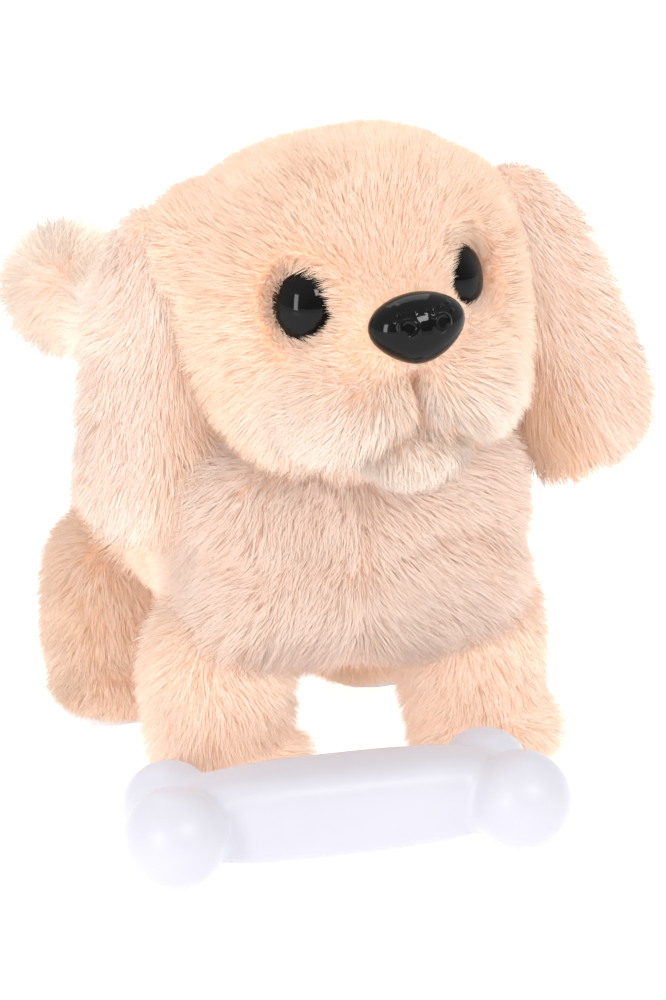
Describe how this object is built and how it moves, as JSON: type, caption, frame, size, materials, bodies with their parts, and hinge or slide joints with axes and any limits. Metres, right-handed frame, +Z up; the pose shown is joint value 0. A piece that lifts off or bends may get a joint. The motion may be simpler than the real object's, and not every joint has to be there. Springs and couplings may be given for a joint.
{
  "type": "interactive plush puppy",
  "caption": "Walking plush puppy toy with a nodding head, opening jaw, floppy ears, wagging tail and swinging legs round a motor chassis, with a loose white toy bone in front.",
  "frame": {"origin": "middle of the whole object's box in X and Y, at the floor that the soles and the bone rest on", "axes": "the puppy faces -Y, its left side is +X, +Z is up"},
  "size_m": [0.1392, 0.2043, 0.1528],
  "materials": {
    "peach_plush": "soft pile",
    "cream_plush": "soft pile",
    "white_plastic": "satin",
    "black_gloss": "high gloss",
    "grey_plastic": "moulded matt",
    "gear_plastic": "moulded satin",
    "steel": "plated",
    "cell_wrap": "shrink wrap",
    "board_green": "solder mask",
    "black_plastic": "matt",
    "copper": "foil"
  },
  "bodies": {
    "torso": {"chassis_lower": "grey_plastic", "chassis_upper": "grey_plastic", "chassis_screw_1": "steel", "chassis_screw_2": "steel", "chassis_screw_3": "steel", "chassis_screw_4": "steel", "battery_1": "cell_wrap", "battery_2": "cell_wrap", "battery_spring_1": "steel", "battery_spring_2": "steel", "circuit_board": "board_green", "speaker": "black_plastic", "motor": "steel", "power_switch": "black_plastic", "neck_post": "grey_plastic", "touch_sensor_plate": "copper", "body_cover": "peach_plush"},
    "battery_cover": {"battery_door": "grey_plastic", "battery_door_screw": "steel"},
    "switch": {"power_switch_knob": "black_plastic"},
    "motor_shaft_pinion": {"motor_pinion": "gear_plastic"},
    "first_gear": {"reduction_gear_1": "gear_plastic"},
    "second_gear": {"reduction_gear_2": "gear_plastic"},
    "crankshaft": {"crank_gear": "gear_plastic", "crank_disc_right": "gear_plastic", "crank_disc_left": "gear_plastic"},
    "head": {"skull_front": "grey_plastic", "skull_rear": "grey_plastic", "head_cover": "peach_plush", "eye_right": "black_gloss", "eye_left": "black_gloss", "nose": "black_gloss", "head_pivot_pin": "steel"},
    "jaw": {"jaw_lever": "white_plastic", "chin_cover": "cream_plush"},
    "right_ear": {"ear_right": "peach_plush"},
    "left_ear": {"ear_left": "peach_plush"},
    "tail": {"tail_lever": "white_plastic", "tail_cover": "cream_plush"},
    "front_right_leg_body": {"front_right_leg": "white_plastic", "front_right_leg_cover": "peach_plush"},
    "front_left_leg_body": {"front_left_leg": "white_plastic", "front_left_leg_cover": "peach_plush"},
    "hind_right_leg_body": {"hind_right_leg": "white_plastic", "hind_right_leg_cover": "peach_plush"},
    "hind_left_leg_body": {"hind_left_leg": "white_plastic", "hind_left_leg_cover": "peach_plush"},
    "right_link": {"link_right": "grey_plastic"},
    "left_link": {"link_left": "grey_plastic"},
    "toy_bone": {"bone_upper": "white_plastic", "bone_lower": "white_plastic"}
  },
  "joints": [
    {"name": "front_left_leg_swing", "type": "hinge", "parent": "torso", "child": "front_left_leg_body", "pos_m": [0.0278, -0.0423, 0.052], "axis": [1, 0, 0], "range_deg": [-7, 7]},
    {"name": "front_right_leg_swing", "type": "hinge", "parent": "torso", "child": "front_right_leg_body", "pos_m": [-0.0352, -0.0423, 0.052], "axis": [1, 0, 0], "range_deg": [-7, 7]},
    {"name": "hind_left_leg_swing", "type": "hinge", "parent": "torso", "child": "hind_left_leg_body", "pos_m": [0.0308, 0.0267, 0.052], "axis": [1, 0, 0], "range_deg": [-7, 7]},
    {"name": "hind_right_leg_swing", "type": "hinge", "parent": "torso", "child": "hind_right_leg_body", "pos_m": [-0.0382, 0.0267, 0.052], "axis": [1, 0, 0], "range_deg": [-7, 7]},
    {"name": "left_link_pivot", "type": "hinge", "parent": "front_left_leg_body", "child": "left_link", "pos_m": [0.0233, -0.0423, 0.061], "axis": [1, 0, 0], "range_deg": [-7, 7]},
    {"name": "right_link_pivot", "type": "hinge", "parent": "front_right_leg_body", "child": "right_link", "pos_m": [-0.0307, -0.0423, 0.061], "axis": [1, 0, 0], "range_deg": [-7, 7]},
    {"name": "crank_spin", "type": "hinge", "parent": "torso", "child": "crankshaft", "pos_m": [-0.0037, -0.0423, 0.068], "axis": [1, 0, 0], "continuous": true},
    {"name": "second_gear_spin", "type": "hinge", "parent": "torso", "child": "second_gear", "pos_m": [-0.0037, -0.03035, 0.06905], "axis": [1, 0, 0], "continuous": true},
    {"name": "first_gear_spin", "type": "hinge", "parent": "torso", "child": "first_gear", "pos_m": [-0.0037, -0.01875, 0.06594], "axis": [1, 0, 0], "continuous": true},
    {"name": "motor_spin", "type": "hinge", "parent": "torso", "child": "motor_shaft_pinion", "pos_m": [-0.0037, -0.00748, 0.07004], "axis": [1, 0, 0], "continuous": true},
    {"name": "head_nod", "type": "hinge", "parent": "torso", "child": "head", "pos_m": [-0.00285, -0.0443, 0.10207], "axis": [0.994, -0.0523, 0.0957], "range_deg": [-7, 7]},
    {"name": "jaw_open", "type": "hinge", "parent": "head", "child": "jaw", "pos_m": [-0.00291, -0.05828, 0.09503], "axis": [0.994, -0.0523, 0.0957], "range_deg": [0, 12]},
    {"name": "right_ear_flop", "type": "hinge", "parent": "head", "child": "right_ear", "pos_m": [-0.0358, -0.03474, 0.13607], "axis": [0.0521, 0.9986, 0.005], "range_deg": [0, 45]},
    {"name": "left_ear_flop", "type": "hinge", "parent": "head", "child": "left_ear", "pos_m": [0.02323, -0.04587, 0.14376], "axis": [-0.0521, -0.9986, -0.005], "range_deg": [0, 40]},
    {"name": "tail_wag", "type": "hinge", "parent": "torso", "child": "tail", "pos_m": [-0.0037, 0.0347, 0.075], "axis": [0, 0, 1], "range_deg": [-49.5, 0.5]},
    {"name": "power_switch_slide", "type": "slide", "parent": "torso", "child": "switch", "axis": [0, 1, 0], "range_m": [-0.0022, 0.0022]},
    {"name": "battery_cover_lift_off", "type": "slide", "parent": "torso", "child": "battery_cover", "axis": [0, 0, -1], "range_m": [0, 0.03]},
    {"name": "toy_bone_pull_away", "type": "slide", "parent": "torso", "child": "toy_bone", "axis": [0, -1, 0], "range_m": [0, 0.08]}
  ],
  "couplings": [
    {"joint": "front_right_leg_swing", "follows": "front_left_leg_swing", "ratio": -1},
    {"joint": "hind_left_leg_swing", "follows": "front_left_leg_swing", "ratio": 1},
    {"joint": "hind_right_leg_swing", "follows": "front_left_leg_swing", "ratio": -1},
    {"joint": "left_link_pivot", "follows": "front_left_leg_swing", "ratio": -1},
    {"joint": "right_link_pivot", "follows": "front_left_leg_swing", "ratio": 1},
    {"joint": "second_gear_spin", "follows": "crank_spin", "ratio": -3},
    {"joint": "first_gear_spin", "follows": "crank_spin", "ratio": 9},
    {"joint": "motor_spin", "follows": "crank_spin", "ratio": -27}
  ]
}
